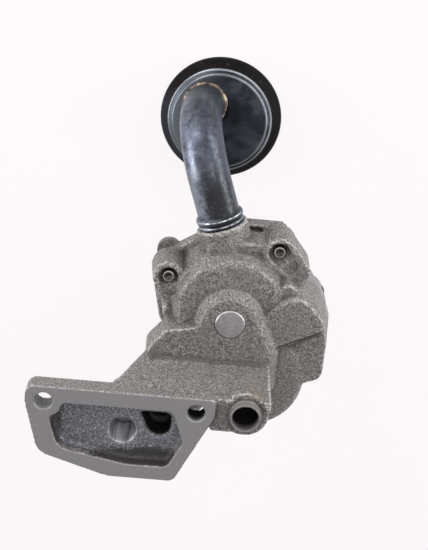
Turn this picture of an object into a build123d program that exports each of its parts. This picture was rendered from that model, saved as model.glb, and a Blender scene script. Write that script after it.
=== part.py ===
from build123d import *
import os
from math import acos, atan2, cos, degrees, hypot, pi, radians, sin, sqrt, tan

# Engine oil pump. All sizes in millimetres.
# Origin: drive shaft axis, in the plane of the mounting face. X runs along the two
# mounting bolts, +Z goes up into the engine block, and the gears hang below.

# mounting flange
bolt_spacing = 76.5
drive_to_bolt = 24.6
bolt_hole_d = 8.8
bolt_margin = 9.2
flange_thick = 12.0
flange_top = 7.8
flange_bottom = -40.0
hole_chamfer = 0.8
bolt_room_r = 7.5
groove_r = 2.6
groove_depth = 9.0

# oil pocket in the mounting face
pocket_depth = 7.6
pocket_floor_r = 1.8

# gear pair
gear_teeth = 9
centre_distance = 35.5
idler_lean = 17.4
pressure_angle = 27.0
addendum_share = 0.9
gear_height = 29.8
backlash = 0.24
tip_clearance = 0.16
end_clearance = 0.1
chamber_reach = 18.0
chamber_r = 8.0

# housing levels, measured down from the mounting face
joint_level = -77.0
plateau_level = -36.0
idler_step = 4.0
drive_roof = 5.0
lobe_wall = 6.6
dome_flare = 1.0
dome_shift = 4.2
drive_lobe_x = 3.2
drive_lobe_y = 1.0
lip_height = 7.0
pad_level = -51.8
outlet_passage_r = 6.0
inlet_passage_r = 6.5

# drive tower and shaft
shaft_d = 12.7
shaft_running = 0.04
socket_d = 13.3
socket_depth = 23.0
spigot_d = 15.7
spigot_rise = 1.5
spotface_depth = 3.0
spotface_r = 10.0
tower_r = 12.0
slot_width = 4.8
slot_depth = 8.0

# woodruff key
key_width = 3.0
key_r = 6.5
key_rise = 1.4

# idler shaft
idler_shaft_d = 15.9
idler_running = 0.05
idler_chamfer = 0.7
idler_boss_r = 13.6
idler_boss_slope = 45.0

# cover, gasket and screws
gasket_thick = 0.4
cover_thick = 5.0
cover_inset = 1.0
screw_d = 6.35
screw_clearance = 0.3
thread_clearance = 0.06
recess_depth = 2.6
recess_r = 4.5
head_flange_d = 13.0
head_flange_t = 1.7
head_across_flats = 9.5
head_height = 5.6
ear_r = 6.2

# relief valve
relief_x = -61.1
relief_y = -17.2
relief_bore_d = 14.4
relief_running = 0.06
relief_boss_wall = 2.8
relief_boss_depth = 43.0
relief_crown_depth = 20.4
piston_length = 9.0
piston_wall = 1.8
piston_crown_t = 2.6
spring_wire = 1.3
spring_turns = 4
cap_thick = 1.6
cotter_d = 2.4
relief_travel = 5.0
relief_port_d = 6.0

# pickup tube
tube_d = 22.0
tube_wall = 1.5
tube_level = -63.0
tube_heading = 19.7
tube_bend_r = 31.5
tube_run = 49.8
tube_drop = 47.7
tube_lean = 5.5
tube_mouth_x = -20.7
tube_mouth_y = 83.4
tube_insert = 15.0
bead_d = 25.2
bead_t = 3.6
tube_boss_r = 13.7

# strainer
dish_r = 33.4
dish_back_r = 25.6
dish_depth = 10.5
dish_sheet = 1.2
dish_offset_x = 8.6
dish_offset_y = -8.8
collar_d = 26.2
collar_h = 2.4
screen_t = 0.8
screen_hole_d = 3.4
screen_pitch = 5.6
retainer_wire = 1.4

# places worked out from the sizes above
near_bolt_x = -drive_to_bolt
far_bolt_x = -(drive_to_bolt + bolt_spacing)
idler_x = -centre_distance * sin(radians(idler_lean))
idler_y = centre_distance * cos(radians(idler_lean))
pitch_r = centre_distance / 2
gear_module = centre_distance / gear_teeth
tip_r = pitch_r + addendum_share * gear_module
root_r = pitch_r - (addendum_share + 0.22) * gear_module
cavity_r = tip_r + tip_clearance
lobe_r = cavity_r + lobe_wall
cavity_top = joint_level + gear_height + end_clearance
lip_top = joint_level + lip_height
drive_top = cavity_top + drive_roof
cover_top = joint_level - gasket_thick
cover_bottom = cover_top - cover_thick
key_level = joint_level + gear_height / 2
crown_level = -pocket_depth - relief_crown_depth
boss_bottom = -pocket_depth - relief_boss_depth

# cover screws: x, y and the level of the screw's tip
blind_tip = lip_top - 2.0
long_screws = [(-44.5, 51.5, pad_level), (12.0, 70.0, pad_level)]
short_screws = [(39.5, -4.0, blind_tip), (-42.0, 22.0, blind_tip), (-10.0, -32.0, blind_tip),
                (35.5, 37.0, blind_tip)]
screw_ears = [(x, y, ear_r) for x, y, tip in long_screws + short_screws]
joint_corners = [(12.9, 75.0, 3.0), (-12.0, 69.2, 8.8), (-49.8, 47.6, 4.0)]
cover_lug = (-45.3, 56.0, 6.6)
lip_hollow = (-1.8, 74.4, 1.4)


def rounded(corners):
    """Closed face from (x, y, radius) corners, each rounded by a tangent arc."""
    edges = []
    count = len(corners)
    ends = []
    for i in range(count):
        px, py, _ = corners[i - 1]
        x, y, r = corners[i]
        nx, ny, _ = corners[(i + 1) % count]
        ax, ay = px - x, py - y
        bx, by = nx - x, ny - y
        la, lb = hypot(ax, ay), hypot(bx, by)
        ax, ay, bx, by = ax / la, ay / la, bx / lb, by / lb
        half = acos(max(-1.0, min(1.0, ax * bx + ay * by))) / 2
        reach = min(r / tan(half), 0.48 * min(la, lb))
        r = reach * tan(half)
        mx, my = ax + bx, ay + by
        ml = hypot(mx, my)
        centre = r / sin(half)
        mid = (x + mx / ml * (centre - r), y + my / ml * (centre - r))
        ends.append(((x + ax * reach, y + ay * reach), mid, (x + bx * reach, y + by * reach)))
    for i in range(count):
        start, mid, end = ends[i]
        edges.append(ThreePointArc(start, mid, end))
        edges.append(Line(end, ends[(i + 1) % count][0]))
    return facing_up(make_face(edges).face())


def facing_up(face):
    """The face rebuilt from its outline so that its normal is +Z."""
    face = Face(face.outer_wire())
    return face if face.normal_at().Z > 0 else Rot(180, 0, 0) * mirror(face, about=Plane.XZ)


def posts(circles):
    """Face of the belt stretched round circles given as (x, y, radius)."""
    return facing_up(make_hull([Pos(x, y) * Edge.make_circle(r) for x, y, r in circles]).face())


def prism(face, low, high):
    """Solid from a face in the XY plane, low to high."""
    return Pos(0, 0, low) * extrude(face, high - low)


def tapered(circles, low, high, draft):
    """Block stretched round upright posts, its walls leaning in by the draft angle."""
    shrink = (high - low) * tan(radians(draft))
    top = [(x, y, r - shrink) for x, y, r in circles]
    return loft([Pos(0, 0, low) * posts(circles), Pos(0, 0, high) * posts(top)])


def post(x, y, r, low, high):
    """Upright round bar."""
    return Pos(x, y, (low + high) / 2) * Cylinder(r, high - low)


def turned(points, x=0.0, y=0.0):
    """Solid of revolution about the upright line through x, y."""
    face = make_face(Polyline(*[(r, z) for r, z in points], close=True))
    return Pos(x, y, 0) * revolve(Plane.XZ * face, Axis.Z)


def gear_face(teeth, rotation):
    """Involute gear outline with one tooth centred on the rotation angle."""
    alpha = radians(pressure_angle)
    base_r = pitch_r * cos(alpha)
    half_tooth = (pi * gear_module / 2 - backlash / 2) / (2 * pitch_r)
    start = tan(alpha) - alpha + half_tooth

    def flank(r, side):
        angle = acos(min(1.0, base_r / r))
        return side * (start - (tan(angle) - angle))

    def at(r, angle):
        return (r * cos(angle), r * sin(angle))

    edges = []
    step = 2 * pi / teeth
    low_r = max(base_r, root_r) + 0.05
    middle_r = (low_r + tip_r) / 2
    for i in range(teeth):
        centre = radians(rotation) + i * step
        foot, head, waist = flank(low_r, 1), flank(tip_r, 1), flank(middle_r, 1)
        edges.append(Line(at(root_r, centre - foot), at(low_r, centre - foot)))
        edges.append(ThreePointArc(at(low_r, centre - foot), at(middle_r, centre - waist),
                                   at(tip_r, centre - head)))
        edges.append(ThreePointArc(at(tip_r, centre - head), at(tip_r, centre),
                                   at(tip_r, centre + head)))
        edges.append(ThreePointArc(at(tip_r, centre + head), at(middle_r, centre + waist),
                                   at(low_r, centre + foot)))
        edges.append(Line(at(low_r, centre + foot), at(root_r, centre + foot)))
        edges.append(ThreePointArc(at(root_r, centre + foot), at(root_r, centre + step / 2),
                                   at(root_r, centre + step - foot)))
    return make_face(edges)


def flange_face():
    """Outline of the mounting face."""
    return rounded([(far_bolt_x - bolt_margin, flange_top, 8.5),
                    (far_bolt_x - bolt_margin, -1.5, 8),
                    (far_bolt_x - 1.9, -29.0, 10),
                    (-67.5, flange_bottom, 24),
                    (-33.2, flange_bottom, 4.5),
                    (near_bolt_x + bolt_margin, -2.0, 8),
                    (near_bolt_x + bolt_margin, flange_top, 3)])


def pocket_face():
    """Outline of the oil pocket, with the hollow that clears the far bolt."""
    return rounded([(far_bolt_x + 9.4, 0.0, 2.6),
                    (-36.4, 0.0, 5),
                    (-29.8, -17.8, 3.5),
                    (-37.0, -32.4, 4),
                    (-58.0, -32.6, 30),
                    (far_bolt_x + 8.2, -26.0, 9),
                    (far_bolt_x + 2.6, -8.6, 3.5),
                    (far_bolt_x + 8.0, -5.6, 4)])


def port_face():
    """D shape of the oil outlet in the pocket floor."""
    return rounded([(-52.8, -5.4, 0.8), (-36.6, -5.4, 3), (-36.6, -18.4, 6), (-46.8, -18.4, 7)])


def joint_face(grow=0.0):
    """Outline shared by the body's lip, the gasket and the cover."""
    return posts([(x, y, r + grow) for x, y, r in screw_ears + joint_corners])


def idler_lobe():
    """Housing over the idler gear: a flat top with a rounded rim and leaning sides."""
    top = plateau_level - idler_step - 1.6
    r = lobe_r + dome_flare
    return turned([(0, joint_level), (r + 3.4, joint_level), (r + 3.0, top - 22), (r + 1.6, top - 9),
                   (r - 0.2, top - 2.8), (r - 1.3, top - 0.8), (r - 3.4, top), (0, top)],
                  idler_x, idler_y + dome_shift)


def drive_lobe():
    """Housing over the drive gear, thicker on its outer side, with a rounded top edge."""
    r = lobe_r + 0.7
    return turned([(0, joint_level), (r, joint_level), (r, drive_top - 2.8), (r - 0.8, drive_top - 0.8),
                   (r - 2.8, drive_top), (0, drive_top)], drive_lobe_x, drive_lobe_y)


def plateau():
    """Raised block that carries the idler shaft, with a steep bank round it."""
    step = plateau_level - idler_step
    bank = idler_step * tan(radians(idler_boss_slope))
    crest = [(idler_x, idler_y, idler_boss_r), (9.4, 17.2, 3.0), (9.4, -1.0, 3.0), (-30.0, 0.0, 3.0),
             (-22.0, 28.0, 4.0)]
    foot = [(x, y, r + bank) for x, y, r in crest]
    core = tapered(foot, step, plateau_level, idler_boss_slope)
    wall = tapered([(x, y, r + 1.5) for x, y, r in foot], lip_top, step + 0.4, 3)
    return [core, wall]


def arm_shelf():
    """Shelf that carries the plateau's level out over the arm."""
    return tapered([(-50.0, 16.2, 3.4), (-41.8, 24.4, 4.6), (-18.0, 29.0, 5.0), (-18.0, -1.0, 5.0),
                    (-50.0, 1.0, 3.4)], plateau_level - 16, plateau_level, 5)


def arm():
    """Slanted block from the flange's underside down to the gear housing."""
    upper = Pos(0, 0, -flange_thick + 1) * rounded(
        [(-68.6, 8.7, 4), (-68.6, -12.0, 6), (-58.0, -28.0, 6), (-34.0, -28.0, 6), (-34.0, 8.7, 1)])
    lower = Pos(0, 0, lip_top - 1) * rounded(
        [(-42.0, 17.0, 4), (-42.0, 0.0, 6), (-32.0, -22.0, 6), (-10.0, -22.0, 6), (-10.0, 17.0, 1)])
    return loft([upper, lower])


def front_wall():
    """Drafted wall that joins the flange's edge, the arm and the drive tower."""
    foot = 12.0
    section = Polyline((flange_top, -spotface_depth + 1.2), (foot, plateau_level - 1), (foot, -60), (2.0, -60),
                       (2.0, -spotface_depth + 1.2), close=True)
    return Pos(-44, 0, 0) * extrude(Plane.YZ * make_face(section), 56.6)


def screw_bosses():
    """Columns for the two long screws; the short ones end in the lip."""
    high = pad_level + 1.6
    near, far = long_screws
    return [tapered([(near[0], near[1], 9.6), (near[0] + 2.0, near[1] - 8.5, 8.0)], lip_top, high, 4),
            tapered([(far[0], far[1], 9.6)], lip_top, high, 4)]


def inlet_block():
    """Walls of the inlet passage from the tube boss round to the right-hand boss."""
    low = tapered([(-20.0, 67.0, 8), (11.0, 68.4, 8.5), (22.0, 58.0, 8), (10.0, 50.0, 8)],
                  joint_level, pad_level + 0.9, 5)
    left = tapered([(-20.0, 64.0, 8), (-30.0, 57.0, 7), (-34.0, 48.0, 7)], joint_level, pad_level - 4, 8)
    shelf = tapered([(-41.0, 31.5, 6.6), (-30.0, 36.0, 7)], lip_top, pad_level, 4)
    rim = tapered([(12.8, 69.0, 9.1), (21.2, 60.2, 8.2)], lip_top, pad_level + 2.3, 1)
    side = tapered([(38.0, 26.0, 7.5), (32.0, 42.0, 7.5), (18.0, 52.0, 8), (20.0, 24.0, 8), (35.8, 7.6, 9.7),
                    (26.0, 2.0, 8)], joint_level, drive_top - 0.6, 7)
    boss = tapered([(23.0, 39.5, 12.8), (34.8, 35.2, 7.0), (6.0, 19.0, 6.6), (5.0, 28.0, 7)], lip_top,
                   drive_top + 2.0, 5)
    return [low, left, shelf, rim, side, boss]


def chamber(side):
    """End of the chamber beside the gears' mesh, on one side or the other."""
    lean = radians(idler_lean)
    return (idler_x / 2 + side * chamber_reach * cos(lean), idler_y / 2 + side * chamber_reach * sin(lean))


def chamber_face(end, grow=0.0):
    """Outline of the chamber from the mesh to its end."""
    return posts([(*end, chamber_r + grow), (idler_x / 2, idler_y / 2, chamber_r + grow)])


def tube_axis(distance):
    """Point on the tube's level run, measured from its bead away from the body."""
    angle = radians(tube_heading)
    return Vector(tube_mouth_x - distance * sin(angle), tube_mouth_y + distance * cos(angle), tube_level)


def along_tube(start, end, r):
    """Round bar on the tube's level run between two distances from the bead."""
    plane = Plane(origin=tube_axis(start), z_dir=tube_axis(1) - tube_axis(0))
    return plane * Cylinder(r, end - start, align=upright)


def passage(points, r, bends):
    """Round cored passage along a path with rounded corners."""
    path = FilletPolyline(*points, radius=bends)
    start = Plane(origin=path @ 0, z_dir=path % 0)
    return sweep(start * Circle(r), path=path)


upright = (Align.CENTER, Align.CENTER, Align.MIN)
boss_face = -bead_t / 2 - 2.6
boss_r = relief_bore_d / 2 + relief_boss_wall


def pump_body():
    """The iron casting: flange, arm, drive tower and gear housing in one."""
    body = prism(flange_face(), -flange_thick, 0)
    body += prism(joint_face(), joint_level, lip_top)
    body += idler_lobe()
    body += drive_lobe()
    body += arm()
    body += arm_shelf()
    for block in plateau():
        body += block
    body += front_wall()
    body += post(0, 0, tower_r, drive_top - 2, -spotface_depth)
    for block in screw_bosses() + inlet_block():
        body += block
    body += along_tube(boss_face - 24, boss_face, tube_boss_r)
    body += post(relief_x, relief_y, boss_r, boss_bottom, -flange_thick / 2)

    # spot face round the spigot, cut a little way into the wall behind it
    body -= post(0, 0, spotface_r, -spotface_depth, spigot_rise + 1)
    body += post(0, 0, spigot_d / 2, -spotface_depth - 1, spigot_rise)

    # trimmed flat at the cover joint
    body -= Pos(0, 0, joint_level - 20) * Box(300, 300, 40)

    # machined and cored openings in the mounting face
    pocket = prism(pocket_face(), -pocket_depth, 1)
    body -= fillet(pocket.edges().group_by(Axis.Z)[0], pocket_floor_r)
    body -= prism(port_face(), -22, 0)
    for x in (near_bolt_x, far_bolt_x):
        body -= post(x, 0, bolt_hole_d / 2, -flange_thick - 1, 1)
        body -= Pos(x, 0, -hole_chamfer) * Cone(bolt_hole_d / 2, bolt_hole_d / 2 + 2 * hole_chamfer,
                                               2 * hole_chamfer, align=upright)
    # room for the near bolt's head
    room = posts([(near_bolt_x, 0, bolt_room_r), (near_bolt_x, flange_bottom, bolt_room_r)])
    body -= prism(room, plateau_level + 2, -flange_thick)

    # drive shaft bore with the wider socket above it
    body -= post(0, 0, shaft_d / 2 + shaft_running, joint_level, 10)
    body -= post(0, 0, socket_d / 2, -socket_depth, 10)
    # idler shaft hole
    body -= post(idler_x, idler_y, idler_shaft_d / 2, joint_level, plateau_level + 10)

    # gear cavities and the two chambers beside the mesh
    body -= post(0, 0, cavity_r, joint_level - 1, cavity_top)
    body -= post(idler_x, idler_y, cavity_r, joint_level - 1, cavity_top)
    outlet, inlet = chamber(-1), chamber(1)
    for end in (outlet, inlet):
        body -= prism(chamber_face(end), joint_level - 1, cavity_top - 2)
    body -= passage([(-43.0, -11.5, -14), (-41.5, -6.0, -32), (*outlet, -58)], outlet_passage_r, 12)
    low = tube_level + 1
    body -= passage([(-15.0, 68.0, low), (9.5, 58.0, low), (24.0, 42.0, low), (inlet[0] + 2, inlet[1], low)],
                    inlet_passage_r, 7)

    # pickup tube socket
    body -= along_tube(boss_face - tube_insert, boss_face + 2, tube_d / 2)

    # relief valve bore, its spill port and the cotter pin's holes
    body -= post(relief_x, relief_y, relief_bore_d / 2, boss_bottom - 1, 0)
    spill = Pos(relief_x, relief_y - boss_r, crown_level - relief_port_d / 2 - 1.5) * Rot(90, 0, 0)
    body -= spill * Cylinder(relief_port_d / 2, 2 * relief_boss_wall + 4)
    body -= Pos(relief_x, relief_y, cotter_level) * Rot(90, 0, 0) * Cylinder(cotter_d / 2 + 0.15, 2 * boss_r + 2)

    # screw holes, with a faced recess round the two open ones
    recess = pad_level - recess_depth
    for x, y, tip in long_screws:
        body -= post(x, y, screw_d / 2 + thread_clearance, joint_level - 1, pad_level + 10)
        body -= post(x, y, recess_r + 0.7, recess, pad_level + 10)
    for x, y, tip in short_screws:
        body -= post(x, y, screw_d / 2 + thread_clearance, joint_level - 1, tip + 1.5)
    x, y, tip = long_screws[0]
    body -= prism(posts([(x, y, recess_r), (x + 1.6, y - 7.0, recess_r - 0.9)]), recess, pad_level + 10)
    x, y, tip = long_screws[1]
    body -= prism(posts([(x, y, recess_r + 1.2), (x + 6.2, y - 7.0, recess_r - 0.5)]), recess, pad_level + 10)
    # small cored hollow at the foot of the inlet wall
    x, y, r = lip_hollow
    body -= prism(posts([(x - 3.6, y, r), (x + 3.6, y + 0.3, r)]), lip_top - 2.0, lip_top + 3.0)
    # groove between the flange's end and the drive tower
    x = (near_bolt_x + bolt_margin - tower_r) / 2 + 1.2
    body -= prism(posts([(x, flange_top - 2.4, groove_r), (x, -tower_r - 4, groove_r)]), -groove_depth,
                  spigot_rise + 1)
    return body


cotter_level = boss_bottom + 3.2


def pump_cover():
    """Flat cover plate with faced spots under the screw heads."""
    plate = prism(joint_face(-cover_inset), cover_bottom, cover_top)
    plate += prism(posts([(-44.5, 50.0, ear_r - cover_inset), cover_lug]), cover_bottom, cover_top)
    plate = chamfer(plate.faces().sort_by(Axis.Z)[0].outer_wire().edges(), 0.8)
    for x, y, _ in long_screws + short_screws:
        plate -= post(x, y, screw_d / 2 + screw_clearance, cover_bottom - 1, cover_top + 1)
    return plate


def cover_gasket():
    """Paper gasket with one opening over both gears and chambers."""
    sheet = prism(joint_face(-0.2), cover_top, joint_level)
    opening = post(0, 0, cavity_r + 0.5, cover_top - 1, joint_level + 1)
    opening += post(idler_x, idler_y, cavity_r + 0.5, cover_top - 1, joint_level + 1)
    for side in (-1, 1):
        opening += prism(chamber_face(chamber(side), 0.5), cover_top - 1, joint_level + 1)
    sheet -= opening
    for x, y, _ in long_screws + short_screws:
        sheet -= post(x, y, screw_d / 2 + screw_clearance, cover_top - 1, joint_level + 1)
    return sheet


def screw(x, y, tip):
    """Hex flange screw pointing up, with the cupped end of a rolled thread."""
    head = prism(RegularPolygon(head_across_flats / 2, 6, major_radius=False),
                 cover_bottom - head_height, cover_bottom - head_flange_t + 0.2)
    rim = Pos(0, 0, cover_bottom - head_flange_t) * Cone(head_flange_d / 2 - 0.7, head_flange_d / 2,
                                                         head_flange_t, align=upright)
    shank = post(0, 0, screw_d / 2, cover_bottom - head_flange_t, tip)
    shank = chamfer(shank.edges().sort_by(Axis.Z)[-1], 0.6)
    cup = Pos(0, 0, tip - 1.2) * Cone(0.3, 1.9, 1.3, align=upright)
    return Pos(x, y, 0) * (head + rim + shank - cup)


def idler_shaft():
    """Plain shaft pressed into the body; its chamfered end shows on the plateau."""
    bar = post(idler_x, idler_y, idler_shaft_d / 2, joint_level + 0.1, plateau_level + 0.6)
    return chamfer(bar.edges().filter_by(GeomType.CIRCLE), idler_chamfer)


def gear_blank(rotation):
    """Toothed disc between the cavity's roof and the joint."""
    low = joint_level + end_clearance / 2
    return prism(gear_face(gear_teeth, rotation), low, low + gear_height)


def idler_gear():
    """Gear that runs free on the idler shaft."""
    gap = degrees(atan2(-idler_y, -idler_x)) + 180 / gear_teeth
    gear = Pos(idler_x, idler_y, 0) * gear_blank(gap)
    return gear - post(idler_x, idler_y, idler_shaft_d / 2 + idler_running, joint_level - 1, cavity_top + 1)


def key_disc():
    """Woodruff key in the shaft's side, facing -Y."""
    disc = Pos(0, -shaft_d / 2 + 0.6, key_level) * Rot(0, 90, 0) * Cylinder(key_r, key_width)
    top = -shaft_d / 2 - key_rise
    return disc - Pos(0, top - 10, key_level) * Box(key_width + 4, 20, 4 * key_r)


def drive_gear():
    """Gear keyed on the drive shaft."""
    gear = gear_blank(degrees(atan2(idler_y, idler_x)))
    gear -= post(0, 0, shaft_d / 2, joint_level - 1, cavity_top + 1)
    return gear - Pos(0, -shaft_d / 2, key_level) * Box(key_width, 2 * key_rise + 0.2, gear_height + 4)


def drive_shaft():
    """Drive shaft with a cross slot in its top end for the driver's tang."""
    top = -socket_depth - 1.0
    bar = post(0, 0, shaft_d / 2, joint_level + 0.3, top)
    bar = chamfer(bar.edges().filter_by(GeomType.CIRCLE), 0.5)
    bar -= Pos(0, 0, top - slot_depth / 2) * Box(slot_width, shaft_d + 2, slot_depth + 0.001)
    return bar - key_disc()


def relief_piston():
    """Cupped valve piston; its crown faces the oil pocket."""
    r = relief_bore_d / 2 - relief_running
    low = crown_level - piston_length
    roof = crown_level - piston_crown_t
    return turned([(0, crown_level), (r - 0.8, crown_level), (r, crown_level - 0.8), (r, low),
                   (r - piston_wall, low), (r - piston_wall, roof), (0, roof)], relief_x, relief_y)


cap_top = cotter_level + cotter_d / 2 + cap_thick


def relief_spring():
    """Coil spring between the piston's cup and the cap."""
    r = relief_bore_d / 2 - relief_running - piston_wall - spring_wire / 2 - 0.35
    low = cap_top + spring_wire / 2 + 0.02
    high = crown_level - piston_crown_t - spring_wire / 2 - 0.02
    path = Helix((high - low) / spring_turns, high - low, r)
    start = Plane(origin=path @ 0, z_dir=path % 0)
    return Pos(relief_x, relief_y, low) * sweep(start * Circle(spring_wire / 2), path=path)


def relief_cap():
    """Sheet cap that the spring bears on, held up by the cotter pin."""
    r = relief_bore_d / 2 - 0.1
    return post(relief_x, relief_y, r, cap_top - cap_thick, cap_top)


def relief_cotter():
    """Split pin across the bore below the cap, its legs spread outside the boss."""
    reach = boss_r + 1.6
    pin = Rot(90, 0, 0) * Cylinder(cotter_d / 2, 2 * reach)
    eye = Pos(0, -reach - 1.2, 0) * Rot(0, 90, 0) * Torus(2.0, cotter_d / 4)
    legs = Pos(0, reach - cotter_d / 2, 0) * Rot(0, 90, 0) * Cylinder(cotter_d / 4, 6.5)
    return Pos(relief_x, relief_y, cotter_level) * (pin + eye + legs)


def tube_path():
    """Level run, one bend and the drop to the strainer."""
    start = tube_axis(-tube_insert + boss_face)
    corner = tube_axis(tube_run)
    down = Vector(sin(radians(tube_lean)), 0, -cos(radians(tube_lean)))
    return FilletPolyline(start, corner, corner + down * tube_drop, radius=tube_bend_r)


def strainer_plane():
    """Plane of the strainer's back, at the foot of the tube."""
    down = Vector(sin(radians(tube_lean)), 0, -cos(radians(tube_lean)))
    return Plane(origin=tube_axis(tube_run) + down * tube_drop, x_dir=(cos(radians(tube_lean)), 0,
                 sin(radians(tube_lean))), z_dir=down * -1)


def pickup_tube():
    """Bent steel tube with a double bead that stops it against the boss."""
    path = tube_path()
    start = Plane(origin=path @ 0, z_dir=path % 0)
    ring = Circle(tube_d / 2) - Circle(tube_d / 2 - tube_wall)
    tube = sweep(start * ring, path=path)
    r, inner = bead_d / 2, tube_d / 2 - tube_wall / 2
    half = bead_t / 2
    lobe = [(inner, -half), (r - 1.1, -half), (r - 0.3, -half * 0.55), (r, 0), (r - 0.3, half * 0.55),
            (r - 1.1, half), (inner, half)]
    collar = [(inner, -half - 2.5), (r - 1.4, -half - 2.5), (r - 0.7, -half - 1.4),
              (r - 1.4, -half - 0.3), (inner, -half - 0.3)]
    plane = Plane(origin=tube_axis(0), z_dir=tube_axis(1) - tube_axis(0))
    for profile in (lobe, collar):
        tube += plane * turned(profile)
    return tube


def strainer_dish():
    """Stamped bell with a stepped shoulder and a rolled rim."""
    s = dish_sheet
    b = dish_back_r
    seat = retainer_wire + screen_t
    outer = [(0, 0), (b, 0), (b + 1.0, -0.5), (b + 1.4, -1.6), (b + 2.6, -2.0), (b + 3.6, -3.0),
             (dish_r - 0.6, -dish_depth + 3.6), (dish_r, -dish_depth + 2.6), (dish_r, -dish_depth)]
    inner = [(dish_r - s, -dish_depth), (dish_r - s, -dish_depth + seat), (dish_r - 2.8, -dish_depth + seat),
             (b + 2.0, -4.0), (b + 1.2, -3.0), (b + 0.2, -2.4), (b - 0.6, -s), (0, -s)]
    dish = Pos(dish_offset_x, dish_offset_y, 0) * turned(outer + inner)
    dish -= Cylinder(tube_d / 2, 10)
    return strainer_plane() * dish


def tube_collar():
    """Brazed fillet ring round the tube on the strainer's back."""
    r = tube_d / 2
    outer = collar_d / 2
    return strainer_plane() * turned([(r, 0), (outer, 0), (outer - 0.4, 0.7), (r + 0.9, 1.3),
                                      (r + 0.4, collar_h), (r, collar_h)])


def strainer_screen():
    """Perforated screen across the strainer's mouth."""
    r = dish_r - dish_sheet - 0.1
    disc = Cylinder(r, screen_t)
    rows = int(r / (screen_pitch * sqrt(3) / 2))
    for row in range(-rows, rows + 1):
        y = row * screen_pitch * sqrt(3) / 2
        columns = int(r / screen_pitch) + 1
        for column in range(-columns, columns + 1):
            x = (column + 0.5 * (row % 2)) * screen_pitch
            if hypot(x, y) < r - screen_hole_d / 2 - 1.6:
                disc -= Pos(x, y, 0) * Cylinder(screen_hole_d / 2, screen_t + 2)
    level = -dish_depth + retainer_wire + screen_t / 2
    return strainer_plane() * Pos(dish_offset_x, dish_offset_y, level) * disc


def screen_retainer():
    """Wire ring that snaps in under the rim and holds the screen."""
    r = dish_r - dish_sheet - 0.05 - retainer_wire / 2
    level = -dish_depth + retainer_wire / 2
    return strainer_plane() * Pos(dish_offset_x, dish_offset_y, level) * Torus(r, retainer_wire / 2)


def save(name, shape):
    """Write one node's STEP file."""
    export_step(shape, "parts/" + name + ".step")
    print(name, round(shape.volume, 1))


def main():
    """Build every piece in turn."""
    os.makedirs("parts", exist_ok=True)
    save("pump_body", pump_body())
    save("pump_cover", pump_cover())
    save("cover_gasket", cover_gasket())
    save("cover_screws_long", Compound(children=[screw(*place) for place in long_screws]))
    save("cover_screws_short", Compound(children=[screw(*place) for place in short_screws]))
    save("idler_shaft", idler_shaft())
    save("idler_gear", idler_gear())
    save("drive_shaft", drive_shaft())
    save("drive_gear", drive_gear())
    save("gear_key", key_disc())
    save("relief_piston", relief_piston())
    save("relief_spring", relief_spring())
    save("relief_cap", relief_cap())
    save("relief_cotter", relief_cotter())
    save("pickup_tube", pickup_tube())
    save("tube_collar", tube_collar())
    save("strainer_dish", strainer_dish())
    save("strainer_screen", strainer_screen())
    save("screen_retainer", screen_retainer())


main()
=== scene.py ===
import bmesh
import bpy
import math
import numpy as np
from mathutils import Matrix, Vector


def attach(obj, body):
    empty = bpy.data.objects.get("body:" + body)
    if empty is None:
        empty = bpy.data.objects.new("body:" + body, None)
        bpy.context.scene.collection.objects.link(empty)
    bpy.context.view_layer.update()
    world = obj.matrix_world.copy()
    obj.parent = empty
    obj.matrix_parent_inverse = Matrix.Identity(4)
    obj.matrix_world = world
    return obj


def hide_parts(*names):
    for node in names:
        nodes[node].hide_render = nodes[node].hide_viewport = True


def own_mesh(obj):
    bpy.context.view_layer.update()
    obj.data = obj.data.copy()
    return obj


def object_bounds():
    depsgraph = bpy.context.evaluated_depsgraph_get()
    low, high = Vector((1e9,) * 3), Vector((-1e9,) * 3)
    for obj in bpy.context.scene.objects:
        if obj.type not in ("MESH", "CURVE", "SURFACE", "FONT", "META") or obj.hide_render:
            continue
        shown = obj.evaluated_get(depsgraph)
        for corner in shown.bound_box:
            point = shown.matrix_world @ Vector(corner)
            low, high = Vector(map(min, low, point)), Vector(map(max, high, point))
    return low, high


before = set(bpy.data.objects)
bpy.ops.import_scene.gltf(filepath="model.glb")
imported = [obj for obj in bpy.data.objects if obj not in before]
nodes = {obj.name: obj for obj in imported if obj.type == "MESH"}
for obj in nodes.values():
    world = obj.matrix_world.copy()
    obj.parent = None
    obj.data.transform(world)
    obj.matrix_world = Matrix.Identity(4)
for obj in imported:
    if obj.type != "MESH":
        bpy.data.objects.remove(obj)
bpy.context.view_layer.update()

mm = 0.001

places = {                                      # upright axes of the pump, in millimetres
    "drive": (0.0, 0.0), "idler": (-10.6, 33.9), "valve": (-61.1, -17.2),
    "nearBolt": (-24.6, 0.0), "farBolt": (-101.1, 0.0),
    "leftScrew": (-44.5, 51.5), "rightScrew": (12.0, 70.0)}


def say(stage):
    print("pump:", stage)


def addPiece(name, mesh, finish, node):
    # puts a mesh into the scene as a piece of the housing that stands in for a CAD node
    piece = bpy.data.objects.new(name, mesh)
    bpy.context.scene.collection.objects.link(piece)
    mesh.materials.clear()
    mesh.materials.append(finish)
    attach(piece, "housing")
    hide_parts(node)
    return piece


def gridPiece(name, grid, finish, node):
    # one smooth piece from rows of points, in millimetres
    mesh = bpy.data.meshes.new(name)
    mesh.from_pydata((grid.reshape(-1, 3) * mm).tolist(), [], tubeFaces(*grid.shape[:2]))
    mesh.update()
    smoothFaces(mesh)
    return addPiece(name, mesh, finish, node)


def smoothFaces(mesh):
    mesh.polygons.foreach_set("use_smooth", np.ones(len(mesh.polygons), bool))


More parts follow.
